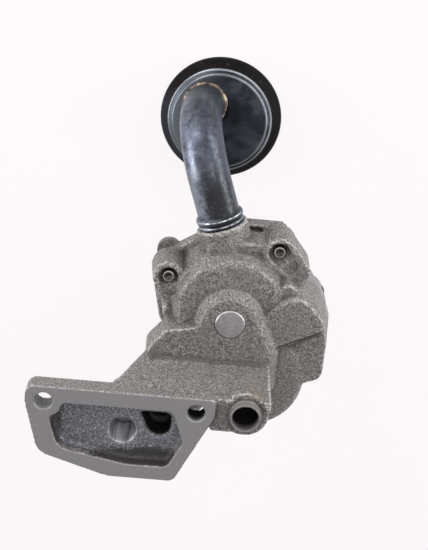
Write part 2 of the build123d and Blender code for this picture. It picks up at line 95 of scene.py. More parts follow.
def tubeFaces(rows, columns):
    # quads of a grid that closes on itself both ways, like a doughnut's skin
    r, c = np.meshgrid(np.arange(rows), np.arange(columns), indexing="ij")
    r2, c2 = (r + 1) % rows, (c + 1) % columns
    quads = np.stack([r * columns + c, r2 * columns + c, r2 * columns + c2, r * columns + c2], -1)
    return quads.reshape(-1, 4).tolist()


class Wire:                                     # one node socket, usable in sums
    def __init__(self, paint, socket):
        self.paint, self.socket = paint, socket

    def maths(self, operation, first, second):
        return self.paint.node("Math", {0: first, 1: second}, operation=operation)

    def __add__(self, other):
        return self.maths("ADD", self, other)

    def __sub__(self, other):
        return self.maths("SUBTRACT", self, other)

    def __rsub__(self, other):
        return self.maths("SUBTRACT", other, self)

    def __mul__(self, other):
        return self.maths("MULTIPLY", self, other)

    def __pow__(self, other):
        return self.maths("POWER", self, other)

    __radd__, __rmul__ = __add__, __mul__

    def most(self, other):
        return self.maths("MAXIMUM", self, other)

    def least(self, other):
        return self.maths("MINIMUM", self, other)

    def between(self, low, high):               # 0 below low, 1 above high, smooth between
        return self.paint.node("MapRange", {0: self, 1: low, 2: high, 3: 0.0, 4: 1.0},
                               interpolation_type="SMOOTHSTEP")

    def under(self, low, high):                 # 1 below low, 0 above high, smooth between
        return 1.0 - self.between(low, high)

    def within(self, low, high, end, past):     # rises from low to high, falls from end to past
        return self.between(low, high) * self.under(end, past)


class Paint:                                    # one material, or the world, and the nodes in it
    def __init__(self, name, world=None):
        self.material = world or bpy.data.materials.new(name)
        self.material.use_nodes = True
        self.tree = self.material.node_tree
        self.tree.nodes.clear()
        if world:
            return
        self.place = self.node("TexCoord", out="Object")
        axes = self.node("SeparateXYZ", {0: self.place}, whole=True)
        self.x, self.y, self.z = [Wire(self, axes.outputs[i]) for i in range(3)]

    def put(self, socket, value):
        if isinstance(value, Wire):
            self.tree.links.new(value.socket, socket)
        else:
            socket.default_value = value

    def node(self, kind, values=None, out=0, whole=False, **settings):     # any node, wired up
        made = self.tree.nodes.new("ShaderNode" + kind)
        for key, value in settings.items():
            setattr(made, key, value)
        for key, value in (values or {}).items():
            self.put(made.inputs[key], value)
        return made if whole else Wire(self, made.outputs[out])

    def noise(self, scale, detail=3.0, rough=0.55, where=None, warp=0.0):
        return self.node("TexNoise", {"Vector": where or self.place, "Scale": scale, "Detail": detail,
                                      "Roughness": rough, "Distortion": warp})

    def stretched(self, scale):                 # object coordinates drawn out along an axis
        return self.node("Mapping", {"Vector": self.place, "Scale": scale})

    def blend(self, mask, first, second):       # first where the mask is 0, second where it is 1
        pair = [c if isinstance(c, Wire) else (*c, 1) for c in (first, second)]
        return self.node("Mix", {0: mask, 6: pair[0], 7: pair[1]}, out=2, data_type="RGBA")

    def ring(self, place):                      # distance from one of the upright axes, metres
        cx, cy = places[place]
        dx, dy = self.x - cx * mm, self.y - cy * mm
        return (dx * dx + dy * dy) ** 0.5

    def region(self, name):                     # 1 inside one of the soft regions in marks
        mask = 1.0
        for way, (low, high, end, past) in marks[name].items():
            reach = self.ring(way) if way in places else getattr(self, way)
            if high is not None:
                mask = mask * reach.between(low * mm, high * mm)
            if end is not None:
                mask = mask * reach.under(end * mm, past * mm)
        return mask

    def nearScrew(self):                        # distance from the nearer long screw's axis
        return self.ring("leftScrew").least(self.ring("rightScrew"))

    def seen(self):                             # 1 for rays that show a surface, 0 for rays that light it
        rays = self.node("LightPath", whole=True)
        camera, glossy, clear = (Wire(self, rays.outputs[kind]) for kind in (
            "Is Camera Ray", "Is Glossy Ray", "Is Transmission Ray"))
        return camera.most(glossy).most(clear)

    def bump(self, height, distance, strength=1.0, normal=None):
        values = {"Height": height, "Distance": distance, "Strength": strength}
        if normal:
            values["Normal"] = normal
        return self.node("Bump", values)

    def soften(self, radius):                   # normal that rounds the edges by this radius
        return self.node("Bevel", {"Radius": radius}, samples=6)

    def finish(self, colour, rough, metal, normal=None, **more):
        values = {"Base Color": colour if isinstance(colour, Wire) else (*colour, 1), "Roughness": rough,
                  "Metallic": metal, **more}
        if normal:
            values["Normal"] = normal
        shader = self.node("BsdfPrincipled", values)
        self.node("OutputMaterial", {"Surface": shader}, whole=True)
        return self.material


def setCamera():
    # a level view down on the mounting face, tilted towards the strainer and turned a little
    view = {"focus": 1200.0, "width": 428, "sensor": 36.0, "near": 0.01, "far": 20.0,
            "tilt": 22.0, "turn": -5.4, "move": (15.65, -71.45, -600.0)}
    camera = bpy.data.cameras.new("camera")
    camera.sensor_fit = "HORIZONTAL"
    camera.sensor_width = view["sensor"]
    camera.lens = view["focus"] / view["width"] * view["sensor"]
    camera.clip_start, camera.clip_end = view["near"], view["far"]
    rig = bpy.data.objects.new("camera", camera)
    bpy.context.scene.collection.objects.link(rig)
    tilt = Matrix.Rotation(math.radians(view["tilt"]), 3, "X")
    back = (tilt @ Matrix.Rotation(math.radians(view["turn"]), 3, "Z")).transposed()
    rig.matrix_world = Matrix.Translation(-(back @ Vector(view["move"])) * mm) @ back.to_4x4()
    bpy.context.scene.camera = rig
    bpy.context.scene.view_settings.view_transform = "Standard"


def setStage():
    # a paper floor just under the pump and a dim room, both plain white where they are seen
    sizes = {"floor": 2.4, "gap": 0.0002, "paper": (0.86, 0.86, 0.86, 1), "glow": 0.9,
             "white": (0.991, 0.956, 0.965, 1), "room": (0.93, 0.96, 1.0, 1), "roomLight": 0.30}
    paint = Paint("paper")
    matt = paint.node("BsdfDiffuse", {"Color": sizes["paper"]})
    white = paint.node("Emission", {"Color": sizes["white"], "Strength": 1.0})
    mixed = paint.node("MixShader", {0: paint.seen() * sizes["glow"], 1: matt, 2: white})
    paint.node("OutputMaterial", {"Surface": mixed}, whole=True)
    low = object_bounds()[0][2] - sizes["gap"]
    h = sizes["floor"] / 2
    mesh = bpy.data.meshes.new("floor")
    mesh.from_pydata([(-h, -h, low), (h, -h, low), (h, h, low), (-h, h, low)], [], [(0, 1, 2, 3)])
    floor = bpy.data.objects.new("floor", mesh)
    bpy.context.scene.collection.objects.link(floor)
    mesh.materials.append(paint.material)

    world = bpy.data.worlds.new("tent")
    bpy.context.scene.world = world
    paint = Paint("tent", world)
    room = paint.node("Background", {"Color": sizes["room"], "Strength": sizes["roomLight"]})
    white = paint.node("Background", {"Color": sizes["white"], "Strength": 1.0})
    mixed = paint.node("MixShader", {0: paint.seen(), 1: room, 2: white})
    paint.node("OutputWorld", {"Surface": mixed}, whole=True)


def setLights():
    # strong from behind the tube and from both sides, close to the floor, so that faces that look
    # at the camera stay darker than the slopes round them
    boxes = {                                   # place, aim, size, watts
        "left": ((-0.75, 0.12, 0.14), (0, 0, -0.03), (0.5, 0.35), 4.0),
        "right": ((0.75, 0.20, 0.14), (0, 0, -0.03), (0.5, 0.35), 4.0),
        "topLeft": ((-0.50, 0.72, 0.16), (0, 0, -0.03), (0.5, 0.35), 3.3),
        "topRight": ((0.50, 0.72, 0.16), (0, 0, -0.03), (0.5, 0.35), 3.3),
        "front": ((0.20, 0.45, 0.80), (0, 0, -0.03), (0.6, 0.6), 2.5)}
    for name, (place, aim, size, watts) in boxes.items():
        lamp = bpy.data.lights.new(name, "AREA")
        lamp.shape = "RECTANGLE"
        lamp.size, lamp.size_y = size
        lamp.energy = watts
        holder = bpy.data.objects.new(name, lamp)
        bpy.context.scene.collection.objects.link(holder)
        holder.location = place
        holder.rotation_euler = (Vector(aim) - Vector(place)).to_track_quat("-Z", "Y").to_euler()


marks = {                                       # soft regions on the casting, in millimetres
    # along x, y or z, or outwards from one of the places, each is 0 up to the first number, 1 from
    # the second to the third and 0 again from the fourth; None leaves that side open
    "flange": {"x": (None, None, -15.2, -14.6), "z": (-0.42, -0.22, None, None)},
    "spigot": {"drive": (None, None, 8.2, 8.4), "z": (-3.6, -3.2, None, None)},
    "socket": {"drive": (None, None, 6.9, 7.0)},
    "nearHole": {"nearBolt": (None, None, 5.2, 5.4), "z": (-13.2, -12.8, None, None)},
    "farHole": {"farBolt": (None, None, 5.2, 5.4), "z": (-13.2, -12.8, None, None)},
    "valve": {"valve": (None, None, 7.3, 7.5)},
    "joint": {"z": (None, None, -76.8, -76.6)},
    "honed": {"valve": (6.4, 6.8, 7.3, 7.5)},
    "deepSocket": {"drive": (None, None, 6.8, 7.1), "z": (None, None, -6.0, -1.5)},
    "deepNear": {"nearBolt": (None, None, 4.6, 4.8), "z": (None, None, -6.0, -1.5)},
    "deepFar": {"farBolt": (None, None, 4.6, 4.8), "z": (None, None, -6.0, -1.5)},
    "port": {"x": (-52.5, -51.5, -33.5, -32.5), "y": (-30.0, -29.0, -1.0, 0.0),
             "z": (None, None, -10.5, -8.5)},
    "pocketFloor": {"x": (-99.0, -98.0, -31.0, -30.0), "y": (-34.5, -33.5, -1.2, -0.4),
                    "z": (-8.6, -8.0, -6.6, -5.0)},
    "pocketWalls": {"x": (-97.5, -97.0, -32.0, -31.0), "y": (-34.5, -34.0, -2.2, -1.2),
                    "z": (-10.0, -9.0, -1.6, -0.6)},
    "rubbedSide": {"x": (16.0, 19.0, None, None), "y": (14.0, 17.0, None, None),
                   "z": (None, None, -68.0, -66.0)},
    "brownPatch": {"x": (-1.0, 2.0, 9.0, 10.5), "y": (7.0, 8.0, None, None),
                   "z": (-13.5, -11.0, -3.5, -2.5)},
    "crack": {"x": (12.5, 14.0, 40.5, 42.0), "z": (-47.0, -45.5, -40.0, -38.0)}}

ironLook = {                                    # noise sizes, shares of the marks, colours
    "grain": 900, "specks": 2300, "patches": 75, "waves": 240, "height": 0.0006, "metal": 0.15,
    "contrast": (0.42, 0.61), "patchShare": 0.40, "crestShare": 0.62, "hollowShare": 0.60,
    "hollowAtSeats": 0.15, "sheenShare": 0.75, "varnishShare": 0.85, "sideShare": 0.75,
    "crackShare": 0.95, "collarShare": 0.6, "milledRough": 0.40,
    "dark": (0.048, 0.044, 0.041), "light": (0.330, 0.314, 0.300), "patch": (0.140, 0.131, 0.124),
    "crest": (0.56, 0.545, 0.53), "hollow": (0.034, 0.031, 0.029),
    "milledDark": (0.208, 0.199, 0.204), "milledPale": (0.232, 0.222, 0.228),
    "milledSpot": (0.12, 0.114, 0.116), "pocketDark": (0.118, 0.116, 0.138),
    "pocketPale": (0.49, 0.49, 0.55), "varnish": (0.020, 0.016, 0.014),
    "side": (0.235, 0.225, 0.240), "brown": (0.150, 0.118, 0.092), "crack": (0.010, 0.008, 0.008),
    "honedDark": (0.34, 0.336, 0.35), "honedPale": (0.86, 0.85, 0.87),
    "collar": (0.120, 0.108, 0.098), "bore": (0.014, 0.011, 0.010)}


def castIron(name="castIron", worked=True):
    # grey iron from a sand mould: a grain of light and dark specks, thin pale crests of painted highlight
    # where the
    # "edge" attribute is high and dark hollows of painted shade where it is low; height is the sum of the
    # noises
    look, paint = ironLook, Paint(name)
    grain = paint.noise(look["grain"], 4, 0.7)
    specks = paint.noise(look["specks"], 3, 0.6)
    patches = paint.noise(look["patches"], 3, 0.6)
    waves = paint.noise(look["waves"], 3, 0.55)
    edge = paint.node("Attribute", {}, out="Fac", attribute_name="edge")
    tone = (grain * 0.55 + specks * 0.45).between(*look["contrast"])
    colour = paint.blend(tone, look["dark"], look["light"])
    colour = paint.blend(patches.between(0.40, 0.66) * look["patchShare"], colour, look["patch"])
    # painted highlight: the pale crest colour along the raised edges
    crest = (edge * (tone + 0.25)).between(0.20, 0.80)
    colour = paint.blend(crest * look["crestShare"], colour, look["crest"])
    pastSeats = paint.nearScrew().between(0.0075, 0.0095)
    # painted shade: the dark hollow colour in creases and valleys, weaker near the screw seats
    hollow = (0.0 - edge).between(0.10, 0.65)
    hollow = hollow * (look["hollowAtSeats"] + pastSeats * look["hollowShare"])
    colour = paint.blend(hollow, colour, look["hollow"])
    height = grain * 0.6 + specks * 0.25 + waves * 0.9
    rough = 0.62 - tone * 0.20
    if worked:
        colour = stains(paint, colour, grain, specks, patches)
        colour, rough, height = cutFaces(paint, colour, rough, height)
    return paint.finish(colour, rough, look["metal"], paint.bump(height, look["height"]))


def stains(paint, colour, grain, specks, patches):
    # marks on the cast skin: a painted violet sheen and glints on the pocket's floor, painted shade on
    # its walls, a paler strip on the right side, a patch browned by heat and painted shade in the gap by
    # the dome
    look = ironLook
    # painted glints: pale flecks picked out by the grain on the pocket's floor
    glint = (specks * 0.6 + grain * 0.4).between(0.50, 0.60)
    sheen = paint.blend(glint, look["pocketDark"], look["pocketPale"])
    colour = paint.blend(paint.region("pocketFloor") * look["sheenShare"], colour, sheen)
    # painted shade: the pocket's walls darkened nearly black
    stain = pocketStain(paint, patches, grain) * look["varnishShare"]
    colour = paint.blend(stain, colour, look["varnish"])
    # a paler, even grey strip on the lower right side
    colour = paint.blend(paint.region("rubbedSide") * look["sideShare"], colour, look["side"])
    streaks = paint.noise(1.0, 3, 0.6, paint.stretched((900, 120, 120)))
    brown = paint.region("brownPatch") * (0.35 + streaks.between(0.35, 0.65) * 0.6)
    colour = paint.blend(brown, colour, look["brown"])
    # painted shade: the dark line in the gap by the dome
    return paint.blend(crack(paint) * look["crackShare"], colour, look["crack"])


def cutFaces(paint, colour, rough, height):
    # the faces cut by a tool are smoother, paler and a little violet, with fine lines along the
    # cut; the valve's bore is honed and paler, with painted highlight streaks down it; the deep holes are
    # painted dark as shade
    look, mask = ironLook, milled(paint)
    lines = paint.noise(1.0, 3, 0.6, paint.stretched((1500, 260, 400)))
    pale = paint.blend(lines.between(0.3, 0.7), look["milledDark"], look["milledPale"])
    spots = paint.noise(700, 3, 0.6).between(0.60, 0.72) * 0.4
    colour = paint.blend(mask, colour, paint.blend(spots, pale, look["milledSpot"]))
    # painted highlight: pale streaks down the honed bore
    sheen = paint.noise(1.0, 2, 0.5, paint.stretched((420, 420, 25)))
    honed = paint.blend(sheen.between(0.40, 0.62), look["honedDark"], look["honedPale"])
    colour = paint.blend(paint.region("honed"), colour, honed)
    colour = paint.blend(paint.region("spigot") * look["collarShare"], colour, look["collar"])
    # painted shade: the deep holes and the port nearly black
    colour = paint.blend(bores(paint), colour, look["bore"])
    rough = rough * (1.0 - mask) + mask * look["milledRough"]
    return colour, rough, height * (1.0 - mask) + mask * (lines * 0.04 + 0.9)


def pocketStain(paint, patches, grain):
    # painted shade on the pocket's walls, below the line y = x / 10 - 21 mm and left of x = -92 mm; the
    # noises break up both borders
    slope = paint.y - paint.x * 0.10 + (grain - 0.5) * 0.006 + (patches - 0.5) * 0.008
    left = paint.x + (grain - 0.5) * 0.004
    walls = slope.under(-0.0228, -0.0200).most(left.under(-0.0935, -0.0905))
    return walls * paint.region("pocketWalls")


def crack(paint):
    # painted shade in the gap where the side block meets the dome: a thin dark line that wanders
    # about the line y = x / 2 + 13.45 mm
    off = (paint.y - paint.x * 0.5 - 0.01345) * 0.894 + (paint.noise(260, 3, 0.6) - 0.5) * 0.0012
    return off.most(0.0 - off).under(0.00035, 0.00075) * paint.region("crack")


def bores(paint):
    # 1 inside the deep holes and the port, which are painted nearly black as shade
    deep = paint.region("deepSocket").most(paint.region("deepNear"))
    return deep.most(paint.region("deepFar") * 0.5).most(paint.region("port"))


def milled(paint):
    # 1 on the faces cut by a tool, 0 on the cast skin
    mask = paint.region("flange")
    for name in ("spigot", "socket", "nearHole", "farHole", "valve", "joint"):
        mask = mask.most(paint.region(name))
    return mask


steels = {                                      # name, colour, roughness, how its rings are drawn out
    "relief_spring": ("springSteel", (0.3, 0.3, 0.31), 0.35),
    "idler_shaft": ("shaftSteel", (0.31, 0.298, 0.302), 0.46, (320, 700, 60)),
    "drive_shaft": ("driveSteel", (0.42, 0.41, 0.41), 0.34),
    "idler_gear": ("gearSteel", (0.34, 0.34, 0.35), 0.38),
    "drive_gear": ("driveGearSteel", (0.34, 0.34, 0.35), 0.38),
    "gear_key": ("keySteel", (0.3, 0.3, 0.3), 0.4),
    "relief_piston": ("pistonSteel", (0.24, 0.24, 0.25), 0.5),
    "relief_cap": ("capSteel", (0.32, 0.32, 0.33), 0.4),
    "relief_cotter": ("cotterSteel", (0.38, 0.38, 0.38), 0.4),
    "strainer_screen": ("screenSteel", (0.35, 0.36, 0.37), 0.42),
    "screen_retainer": ("wireSteel", (0.35, 0.35, 0.36), 0.38)}


def turnedSteel(name, colour, rough, scale=(60, 60, 2600)):
    # bright machined steel: a tone that varies in fine rings round the axis, with darker clouds
    paint = Paint(name)
    rings = paint.noise(1.0, 3, 0.5, paint.stretched(scale))
    cloud = paint.noise(140, 3, 0.5)
    shade = paint.blend(rings.between(0.3, 0.7), tuple(c * 0.74 for c in colour), colour)
    shade = paint.blend(cloud.between(0.45, 0.7) * 0.4, shade, tuple(c * 0.6 for c in colour))
    normal = paint.bump(rings, 0.00004, 0.5, paint.soften(0.0004))
    return paint.finish(shade, rough + (rings - 0.5) * 0.12, 1.0, normal)


tubeLook = {                                    # colours, lengths and flank shares of the marks
    "inner": (0.088, 0.102, 0.125), "outer": (0.190, 0.215, 0.255), "heated": (0.125, 0.134, 0.205),
    "oily": (0.022, 0.023, 0.025), "cloud": (0.045, 0.040, 0.038), "mottle": (0.026, 0.027, 0.034),
    "pale": (0.24, 0.28, 0.36), "grit": (0.17, 0.15, 0.12), "groove": (0.012, 0.012, 0.014),
    "lip": (0.42, 0.45, 0.48), "scratch": (0.26, 0.29, 0.33), "rim": (0.60, 0.60, 0.62),
    "heatedAt": (0.018, 0.034, 0.058, 0.074), "bandFrom": (0.08, 0.20), "bandTo": (0.52, 0.70),
    "height": 0.00010, "metal": 0.85}


def platedTube():
    # drawn tube with a blue-grey plating: dark and light streaks along its length, a violet tint where
    # the bend was heated, painted shade on one flank and painted light on the other, a band of painted
    # shade along the upper side of the level run and painted highlights on the beads and along the lit
    # edge; the run map's first number goes from 0 on one flank to 1 on the other, its second is the
    # length
    look, paint = tubeLook, Paint("platedTube")
    run = paint.node("UVMap", {}, uv_map="run")
    part = paint.node("SeparateXYZ", {0: run}, whole=True)
    flank, along = Wire(paint, part.outputs[0]), Wire(paint, part.outputs[1])
    streaks = paint.noise(1.0, 4, 0.6, paint.node("Mapping", {"Vector": run, "Scale": (9, 22, 1)}))
    fine = paint.noise(1.0, 3, 0.6, paint.node("Mapping", {"Vector": run, "Scale": (34, 60, 1)}))
    cloud = paint.noise(110, 5, 0.65, warp=1.0)
    grit = paint.noise(620, 4, 0.7)
    mottle = paint.noise(260, 5, 0.75)
    heated = along.within(*look["heatedAt"])
    # painted shade and light: the inner colour on one flank, the outer colour on the other
    shade = paint.blend(flank.between(0.35, 0.75), look["inner"], look["outer"])
    shade = paint.blend(heated * streaks.between(0.42, 0.58) * 0.7, shade, look["heated"])
    # painted shade: a dark band from one flank over the top of the tube, strongest near the mouth
    band = (flank + (streaks - 0.5) * 0.5).between(*look["bandFrom"])
    band = band * (flank + (cloud - 0.5) * 0.5).under(*look["bandTo"])
    oily = band * (0.55 + along.under(0.014, 0.034) * 0.40)
    shade = paint.blend(oily, shade, look["oily"])
    shade = paint.blend(cloud.between(0.55, 0.68) * 0.45, shade, look["cloud"])
    shade = paint.blend(mottle.between(0.48, 0.62) * 0.6, shade, look["mottle"])
    shade = paint.blend(mottle.under(0.36, 0.47) * 0.16, shade, look["pale"])
    shade = paint.blend(grit.between(0.58, 0.68) * (1.0 - heated) * 0.22, shade, look["grit"])
    shade = paint.blend(beadGrooves(along) * 0.85, shade, look["groove"])
    # painted highlight: pale bands on the side of each bead that faces the light
    lip = along.within(0.0002, 0.0005, 0.0008, 0.0011)
    lip = lip.most(along.within(-0.0031, -0.0029, -0.0027, -0.0024) * 0.7)
    shade = paint.blend(lip * streaks.between(0.40, 0.55), shade, look["lip"])
    shade = paint.blend(fine.between(0.58, 0.74) * 0.16, shade, look["scratch"])
    # painted highlight: a pale strip along the edge of the lighter flank
    shade = paint.blend(flank.between(0.965, 0.99) * 0.5, shade, look["rim"])
    normal = paint.bump(fine * 0.2 + streaks * 0.4 + grit * 0.2, look["height"], 0.8)
    return paint.finish(shade, 0.33 + cloud * 0.14, look["metal"], normal)


def beadGrooves(along):
    # nearly black bands on both sides of the two beads, by the length along the tube
    first = along.within(-0.0062, -0.0056, -0.0046, -0.0040)
    second = along.within(-0.0024, -0.0020, -0.0018, -0.0014)
    return first.most(second).most(along.within(0.0016, 0.0020, 0.0026, 0.0034) * 0.7)


dishLook = {                                    # colours, radii of the rim wall and of the step edges with painted highlights
    "dark": (0.020, 0.024, 0.029), "light": (0.060, 0.070, 0.084), "pale": (0.120, 0.135, 0.155),
    "rim": (0.0050, 0.0042, 0.0044), "rimLit": (0.030, 0.033, 0.042), "worn": (0.42, 0.44, 0.47),
    "spot": (0.10, 0.082, 0.070), "rimAt": (0.0284, 0.0290), "edgeAt": (0.0250, 0.0256, 0.0262, 0.0266),
    "stepAt": (0.0274, 0.0279, 0.0283, 0.0287), "height": 0.0002, "metal": 0.85, "gloss": 0.05}


def platedDish():
    # pressed sheet, dark blue-grey; the "radius" attribute finds the rim wall, painted nearly black as
    # shade, and the edges of the two steps, which carry painted highlights, and one flank of the back is
    # painted paler as a reflection
    look, paint = dishLook, Paint("platedDish")
    radius = paint.node("Attribute", {}, out="Fac", attribute_name="radius")
    cloud = paint.noise(55, 4, 0.6, warp=0.8)
    spots = paint.noise(620, 3, 0.6)
    sweep = paint.noise(22, 1, 0.5).between(0.38, 0.62)
    # painted reflection: the back paler towards smaller x
    pale = (paint.x + (cloud - 0.5) * 0.03).under(-0.050, -0.022)
    shade = paint.blend(cloud.between(0.36, 0.66), look["dark"], look["light"])
    shade = paint.blend(pale * 0.85, shade, look["pale"])
    # painted shade: the rim wall nearly black, with painted light on it along the pale flank
    rim = radius.between(*look["rimAt"])
    wall = paint.blend(pale * paint.y.under(0.126, 0.140) * 0.5, look["rim"], look["rimLit"])
    shade = paint.blend(rim, shade, wall)
    # painted highlight: pale rings on the edges of the two steps, strongest towards larger x and y
    worn = radius.within(*look["edgeAt"]) * 0.55
    worn = worn.most(radius.within(*look["stepAt"]))
    side = (0.10 + paint.x.between(-0.044, -0.020) * 0.80).most(paint.y.between(0.138, 0.150) * 0.8)
    shade = paint.blend(worn * side * (0.45 + sweep * 0.55), shade, look["worn"])
    shade = paint.blend(spots.between(0.62, 0.74) * 0.35, shade, look["spot"])
    rough = 0.25 + cloud * 0.16 + rim * 0.2
    normal = paint.bump(spots * 0.3 + cloud, look["height"], 0.5)
    gloss = {"Specular IOR Level": look["gloss"]}
    return paint.finish(shade, rough, (1.0 - rim) * look["metal"], normal, **gloss)


brazeLook = {"dark": (0.040, 0.032, 0.028), "copper": (0.17, 0.125, 0.090), "gold": (0.36, 0.30, 0.225)}


def copperBraze():
    # brazing metal: thin gold and copper patches in a dark heat stain, lumpy
    look, paint = brazeLook, Paint("copperBraze")
    lumps = paint.noise(330, 4, 0.65)
    shade = paint.blend(lumps.between(0.42, 0.62), look["dark"], look["copper"])
    shade = paint.blend(paint.noise(190, 3, 0.6).between(0.54, 0.64), shade, look["gold"])
    return paint.finish(shade, 0.45, 0.7, paint.bump(lumps, 0.0003, 0.8))


screwLook = {"dark": (0.030, 0.029, 0.028), "light": (0.095, 0.092, 0.088), "tip": (0.70, 0.67, 0.63)}


def darkScrew():
    # phosphated steel: nearly black, with a bright ring where each long screw's tip is cut off
    look, paint = screwLook, Paint("darkScrew")
    grain = paint.noise(1900, 3, 0.6)
    shade = paint.blend(grain.between(0.35, 0.7), look["dark"], look["light"])
    ring = paint.nearScrew().within(0.0023, 0.0025, 0.0028, 0.0031)
    tip = ring * paint.z.between(-0.0532, -0.0524)
    shade = paint.blend(tip * (0.4 + grain), shade, look["tip"])
    normal = paint.bump(grain, 0.00008, 0.5, paint.soften(0.0003))
    return paint.finish(shade, 0.45, 0.75, normal)


paperLook = {"fibres": 900, "dark": (0.05, 0.045, 0.04), "light": (0.14, 0.12, 0.10)}


def gasketPaper():
    # fibre sheet soaked in oil
    look, paint = paperLook, Paint("gasketPaper")
    fibres = paint.noise(look["fibres"], 4, 0.7)
    shade = paint.blend(fibres, look["dark"], look["light"])
    return paint.finish(shade, 0.7, 0.0, paint.bump(fibres, 0.0001, 0.5))


def mergedCopy(node, block=None):
    # a copy of a CAD node's surface with its loose corners joined, and a block added to it
    mesh = nodes[node].data.copy()
    work = bmesh.new()
    work.from_mesh(mesh)
    bmesh.ops.remove_doubles(work, verts=work.verts, dist=1e-6)
    if block:
        low, high = (Vector(corner) * mm for corner in block)
        place = Matrix.Translation((low + high) / 2) @ Matrix.Diagonal((*(high - low), 1.0))
        bmesh.ops.create_cube(work, size=1.0, matrix=place)
    work.to_mesh(mesh)
    work.free()
    return mesh


def evenMesh(mesh, pitch):
    # the same surface remeshed at an even pitch, so that it can be relaxed
    temp = bpy.data.objects.new("temp", mesh)
    bpy.context.scene.collection.objects.link(temp)
    modifier = temp.modifiers.new("remesh", "REMESH")
    modifier.mode = "VOXEL"
    modifier.voxel_size = pitch
    graph = bpy.context.evaluated_depsgraph_get()
    made = bpy.data.meshes.new_from_object(temp.evaluated_get(graph))
    bpy.data.objects.remove(temp)
    return made


def readPoints(mesh):
    flat = np.empty(len(mesh.vertices) * 3, np.float32)
    mesh.vertices.foreach_get("co", flat)
    return flat.reshape(-1, 3).astype(float)


def readEdges(mesh):
    flat = np.empty(len(mesh.edges) * 2, np.int32)
    mesh.edges.foreach_get("vertices", flat)
    return flat.reshape(-1, 2)


def neighbourMean(points, edges, count):
    # mean of the points joined to each point by an edge
    total = np.zeros_like(points)
    np.add.at(total, edges[:, 0], points[edges[:, 1]])
    np.add.at(total, edges[:, 1], points[edges[:, 0]])
    return total / count[:, None]


cuts = {                                        # what a tool has cut, in millimetres
    "flangeZ": -0.5, "flangeX": -14.8, "jointZ": -76.4,
    "rounds": (                                 # place, radius, lowest and highest z
        ("drive", 8.6, -3.6, 200), ("drive", 7.4, -200, 200), ("drive", 22.2, -200, -46.4),
        ("idler", 22.2, -200, -46.4), ("idler", 8.5, -200, 200), ("valve", 7.8, -200, 200),
        ("nearBolt", 5.3, -12.6, 200), ("farBolt", 5.3, -12.6, 200))}


def onFlange(points):
    return (points[:, 2] > cuts["flangeZ"] * mm) & (points[:, 0] < cuts["flangeX"] * mm)


def heldFaces(points):
    # 0 where a tool has cut the metal, so that the relaxing leaves it alone, 1 elsewhere
    x, y, z = (points / mm).T
    free = np.ones(len(points))
    free[onFlange(points) | (z < cuts["jointZ"])] = 0
    for place, radius, low, high in cuts["rounds"]:
        away = np.hypot(x - places[place][0], y - places[place][1])
        free[(away < radius) & (z > low) & (z < high)] = 0
    return free


def raiseSeats(points):
    # the sunken seat beside each long screw rises towards its far end: what lies below the skin
    # there is squeezed up by a share that grows with the distance from the screw
    seats = {                                   # direction, half width, length, level of the skin
        "leftScrew": ((1.6, -7.0), 5.0, 11.5, -50.2),
        "rightScrew": ((6.2, -7.0), 6.2, 14.0, -49.5)}
    rise = {"from": 2.5, "over": 4.5, "most": 0.7, "deepest": 6.0}
    for screw, (way, half, length, skin) in seats.items():
        dx, dy = np.array(way) / math.hypot(*way)
        across, up = (points[:, :2] / mm - places[screw]).T
        along, aside = across * dx + up * dy, np.abs(across * dy - up * dx)
        sunk = (skin - points[:, 2] / mm).clip(0, None)
        inside = (aside < half) & (along < length) & (sunk < rise["deepest"])
        share = ((along - rise["from"]) / rise["over"]).clip(0, 1) * rise["most"]
        points[:, 2] += inside * share * sunk * mm


def pumpCasting(finish):
    # the CAD body remeshed, then relaxed: each free point moves part of the way to the mean of its
    # neighbours, again and again; the web is a thin wall between the flange's end and the tower
    say("casting")
    sizes = {"pitch": 0.75 * mm, "passes": 4, "pull": 0.5,
             "web": ((-17.0, -10.5, -24.0), (-6.5, 7.0, -2.4))}
    mesh = evenMesh(mergedCopy("pump_body", sizes["web"]), sizes["pitch"])
    points, edges = readPoints(mesh), readEdges(mesh)
    count = np.bincount(edges.ravel(), minlength=len(points)).clip(1)
    free = heldFaces(points)[:, None]
    for _ in range(sizes["passes"]):
        points += free * sizes["pull"] * (neighbourMean(points, edges, count) - points)
    raiseSeats(points)
    points[onFlange(points), 2] = 0.0
    mesh.vertices.foreach_set("co", points.ravel())
    mesh.update()
    edgeMark(mesh, points, edges, count)
    smoothFaces(mesh)
    return addPiece("casting", mesh, finish, "pump_body")


def edgeMark(mesh, points, edges, count):
    # stores how far each point stands out of, or sinks below, its wider neighbourhood
    sizes = {"wide": 6, "soft": 2, "full": 0.35 * mm}
    normals = np.empty(len(points) * 3, np.float32)
    mesh.vertices.foreach_get("normal", normals)
    wide = points
    for _ in range(sizes["wide"]):
        wide = neighbourMean(wide, edges, count)
    stand = ((points - wide) * normals.reshape(-1, 3)).sum(1)[:, None]
    for _ in range(sizes["soft"]):
        stand = neighbourMean(stand, edges, count)
    mark = mesh.attributes.new("edge", "FLOAT", "POINT")
    mark.data.foreach_set("value", (stand[:, 0] / sizes["full"]).clip(-1, 1).astype(np.float32))


def reliefSpring(finish):
    # a merged copy of the relief valve's spring, in a mesh of its own
    say("relief spring")
    sizes = {"travel": 5.0 * mm}
    mesh = mergedCopy("relief_spring")
    piece = addPiece("spring", mesh, finish, "relief_spring")
    low, high = readPoints(mesh).min(0), readPoints(mesh).max(0)
    1 - sizes["travel"] / (high[2] - low[2])
    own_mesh(piece)
    return piece


tube = {                                        # millimetres, degrees, and numbers of steps
    "r": 11.0, "wall": 1.5, "level": -63.0, "heading": 19.7, "bend": 31.5, "run": 49.8,
    "drop": 47.7, "lean": 5.5, "mouth": (-20.7, 83.4), "start": -19.4,
    "steps": (150, 60, 24), "columns": 96, "flatter": 0.045, "broader": 0.02,
    "beads": ((0.0, 1.6, 1.75, 3.2), (-3.3, 1.15, 1.2, 3.0)),   # place, height, half width, square
    "beadInside": 0.8}


def fullTurn(columns):
    return np.linspace(0, 2 * math.pi, columns, endpoint=False)


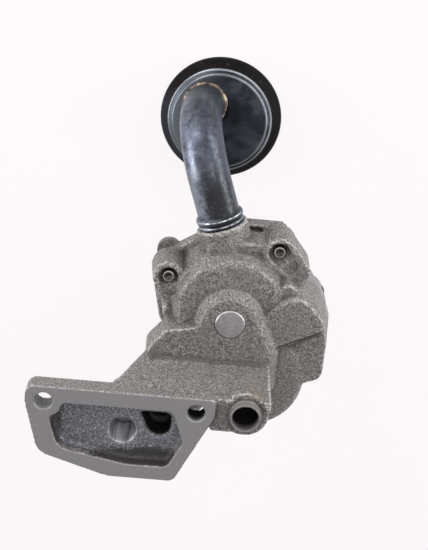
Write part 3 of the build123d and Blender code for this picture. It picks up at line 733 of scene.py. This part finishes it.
def tubeAxis():
    # centre line: level run, one arc and the drop. Returns the points, their directions, the
    # lengths from the mouth, the bend's own axis, and 0 on the straights to 1 in mid-bend
    heading, lean = math.radians(tube["heading"]), math.radians(tube["lean"])
    ahead = np.array([-math.sin(heading), math.cos(heading), 0.0])
    down = np.array([math.sin(lean), 0.0, -math.cos(lean)])
    mouth = np.array([*tube["mouth"], tube["level"]])
    turn = math.acos(ahead @ down)
    reach = tube["bend"] * math.tan(turn / 2)
    straight = tube["run"] - reach
    corner = mouth + ahead * tube["run"]
    side = down - ahead * (ahead @ down)
    side /= np.linalg.norm(side)
    centre = corner - ahead * reach + side * tube["bend"]
    runs, arcs, drops = tube["steps"]
    level = np.linspace(tube["start"], straight, runs, endpoint=False)
    arc = np.linspace(0, turn, arcs, endpoint=False)
    drop = np.linspace(reach, tube["drop"], drops)
    sine, cosine = np.sin(arc)[:, None], np.cos(arc)[:, None]
    line = np.concatenate([mouth + level[:, None] * ahead,
                           centre + tube["bend"] * (sine * ahead - cosine * side),
                           corner + drop[:, None] * down])
    way = np.concatenate([np.tile(ahead, (runs, 1)), cosine * ahead + sine * side,
                          np.tile(down, (drops, 1))])
    length = np.concatenate([level, straight + arc * tube["bend"],
                             straight + turn * tube["bend"] + drop - reach])
    bent = np.concatenate([np.zeros(runs), np.sin(arc / turn * math.pi), np.zeros(drops)])
    return line, way, length, np.cross(ahead, side), bent


def pickupTube(finish):
    # rings round the centre line, the outer skin and then the inner one backwards; a bead adds
    # height * exp(-(distance along the tube / half width) ^ square) to the radius; in the bend the
    # ring is flatter towards the bend's centre and broader across it
    say("pickup tube")
    line, way, length, across, bent = tubeAxis()
    angle = fullTurn(tube["columns"])[None, :, None]
    out = np.cross(way, across)[:, None, :]
    bead = sum(high * np.exp(-np.abs((length - place) / half) ** square)
               for place, high, half, square in tube["beads"])
    skins = []
    for r, grow in ((tube["r"], 1.0), (tube["r"] - tube["wall"], tube["beadInside"])):
        radius = r + bead * grow
        tall = (radius * (1 - tube["flatter"] * bent))[:, None, None]
        broad = (radius * (1 + tube["broader"] * bent))[:, None, None]
        ring = np.cos(angle) * across * broad + np.sin(angle) * out * tall
        skins.append(line[:, None, :] + ring)
    grid = np.concatenate([skins[0], skins[1][::-1]])
    piece = gridPiece("tube", grid, finish, "pickup_tube")
    runMap(piece.data, length)
    return piece


def runMap(mesh, length):
    # lays out the tube for its material: the share of the way from flank to flank, and the length
    # along it in metres
    corners = np.empty(len(mesh.loops), np.int32)
    mesh.loops.foreach_get("vertex_index", corners)
    row, column = corners // tube["columns"], corners % tube["columns"]
    flank = np.abs(column / tube["columns"] - 0.5) * 2
    along = np.concatenate([length, length[::-1]])[row] * mm
    layer = mesh.uv_layers.new(name="run")
    layer.data.foreach_set("uv", np.stack([flank, along], -1).ravel().astype(np.float32))


def placed(local):
    # from the strainer's own millimetres, x and y across its back and z up the tube
    line, way, *_ = tubeAxis()
    lean = math.radians(tube["lean"])
    xAxis, zAxis = np.array([math.cos(lean), 0.0, math.sin(lean)]), -way[-1]
    yAxis = np.cross(zAxis, xAxis)
    return line[-1] + local[..., :1] * xAxis + local[..., 1:2] * yAxis + local[..., 2:] * zAxis


def strainerBell(finish):
    # a pressed dish: hoops that go from the tube's foot out over the back and the steps to the rim,
    # then back along the inside; the foot's hoops are centred on the tube, the others on the dish
    say("strainer")
    sizes = {"r": 33.4, "back": 25.6, "deep": 10.5, "sheet": 1.2, "dx": 8.6, "dy": -8.8, "seat": 2.2,
             "outerFoot": 1.0, "innerFoot": 1.4, "hoops": 8, "columns": 144, "oval": 0.0016,
             "ovalAt": 0.7}
    r, b, d, s = sizes["r"], sizes["back"], sizes["deep"], sizes["sheet"]
    outerFoot, innerFoot = b - sizes["outerFoot"], b - sizes["innerFoot"]
    outer = [(outerFoot, 0.0), (b + 0.2, -0.1), (b + 0.9, -0.9), (b + 1.2, -1.9), (b + 2.4, -2.0),
             (b + 3.2, -2.5), (b + 3.9, -3.4), (r - 1.0, -d + 4.6), (r, -d + 2.6), (r, -d)]
    inner = [(r - s, -d), (r - s, -d + sizes["seat"]), (r - 2.6, -d + sizes["seat"]),
             (b + 2.6, -d + 4.4), (b + 1.6, -3.3), (b + 0.2, -2.9), (b - 0.5, -s - 0.3),
             (innerFoot, -s)]
    angle = fullTurn(sizes["columns"])

    def hoop(radius, level, share):
        # share 0 is the dish's own centre, 1 is the tube's
        wobble = 1 + sizes["oval"] * np.sin(2 * angle + sizes["ovalAt"]) * (1 - share)
        return np.stack([sizes["dx"] * (1 - share) + radius * wobble * np.cos(angle),
                         sizes["dy"] * (1 - share) + radius * wobble * np.sin(angle),
                         np.full(len(angle), level)], -1)

    shares = np.linspace(1, 0, sizes["hoops"] + 1)[:-1]
    rows = [hoop(tube["r"] * t + outerFoot * (1 - t), 0.0, t) for t in shares]
    rows += [hoop(x, z, 0) for x, z in smoothLine(outer) + smoothLine(inner)]
    rows += [hoop(tube["r"] * t + innerFoot * (1 - t), -s, t) for t in shares[::-1]]
    grid = np.stack(rows)
    piece = gridPiece("bell", placed(grid), finish, "strainer_dish")
    spread = np.hypot(grid[..., 0] - sizes["dx"], grid[..., 1] - sizes["dy"]) * mm
    mark = piece.data.attributes.new("radius", "FLOAT", "POINT")
    mark.data.foreach_set("value", spread.ravel().astype(np.float32))
    return piece


def smoothLine(points, passes=2):
    # corner cutting that keeps the two ends of an open line
    line = np.array(points, float)
    for _ in range(passes):
        a, c = line[:-1], line[1:]
        cut = np.stack([0.75 * a + 0.25 * c, 0.25 * a + 0.75 * c], 1).reshape(-1, 2)
        line = np.concatenate([line[:1], cut, line[-1:]])
    return line.tolist()


def brazeRing(finish):
    # a concave fillet round the tube's foot, a quarter circle in section, stretched to a width of
    # wide + vary * wander and a height of high + vary * sin(2 * angle + 0.4)
    say("braze")
    sizes = {"wide": 1.0, "high": 1.2, "vary": 0.5, "sunk": 0.05, "lift": 0.02, "rows": 12,
             "columns": 120}
    angle = fullTurn(sizes["columns"])
    wander = 0.5 + 0.5 * np.sin(3 * angle + 1.0) * np.sin(5 * angle)
    wide = sizes["wide"] + sizes["vary"] * wander
    high = sizes["high"] + sizes["vary"] * np.sin(2 * angle + 0.4)
    quarter = np.linspace(0, 1, sizes["rows"])[:, None] * math.pi / 2
    foot = tube["r"] - sizes["sunk"]
    radius = np.concatenate([foot + wide * (1 - np.sin(quarter)), np.full((1, len(angle)), foot)])
    level = np.concatenate([sizes["lift"] + high * (1 - np.cos(quarter)),
                            np.full((1, len(angle)), -sizes["sunk"])])
    grid = np.stack([radius * np.cos(angle), radius * np.sin(angle), level], -1)
    return gridPiece("braze", placed(grid), finish, "tube_collar")


say("camera, stage and lights")
setCamera()
setStage()
setLights()
pumpCasting(castIron())
reliefSpring(turnedSteel(*steels.pop("relief_spring")))
pickupTube(platedTube())
strainerBell(platedDish())
brazeRing(copperBraze())

say("finishes")
screws = darkScrew()
coats = {"pump_cover": castIron("coverIron", worked=False), "cover_gasket": gasketPaper(),
         "cover_screws_long": screws, "cover_screws_short": screws}
coats.update({name: turnedSteel(*steel) for name, steel in steels.items()})
for name, coat in coats.items():
    mesh = nodes[name].data
    mesh.materials.clear()
    mesh.materials.append(coat)

say("done")
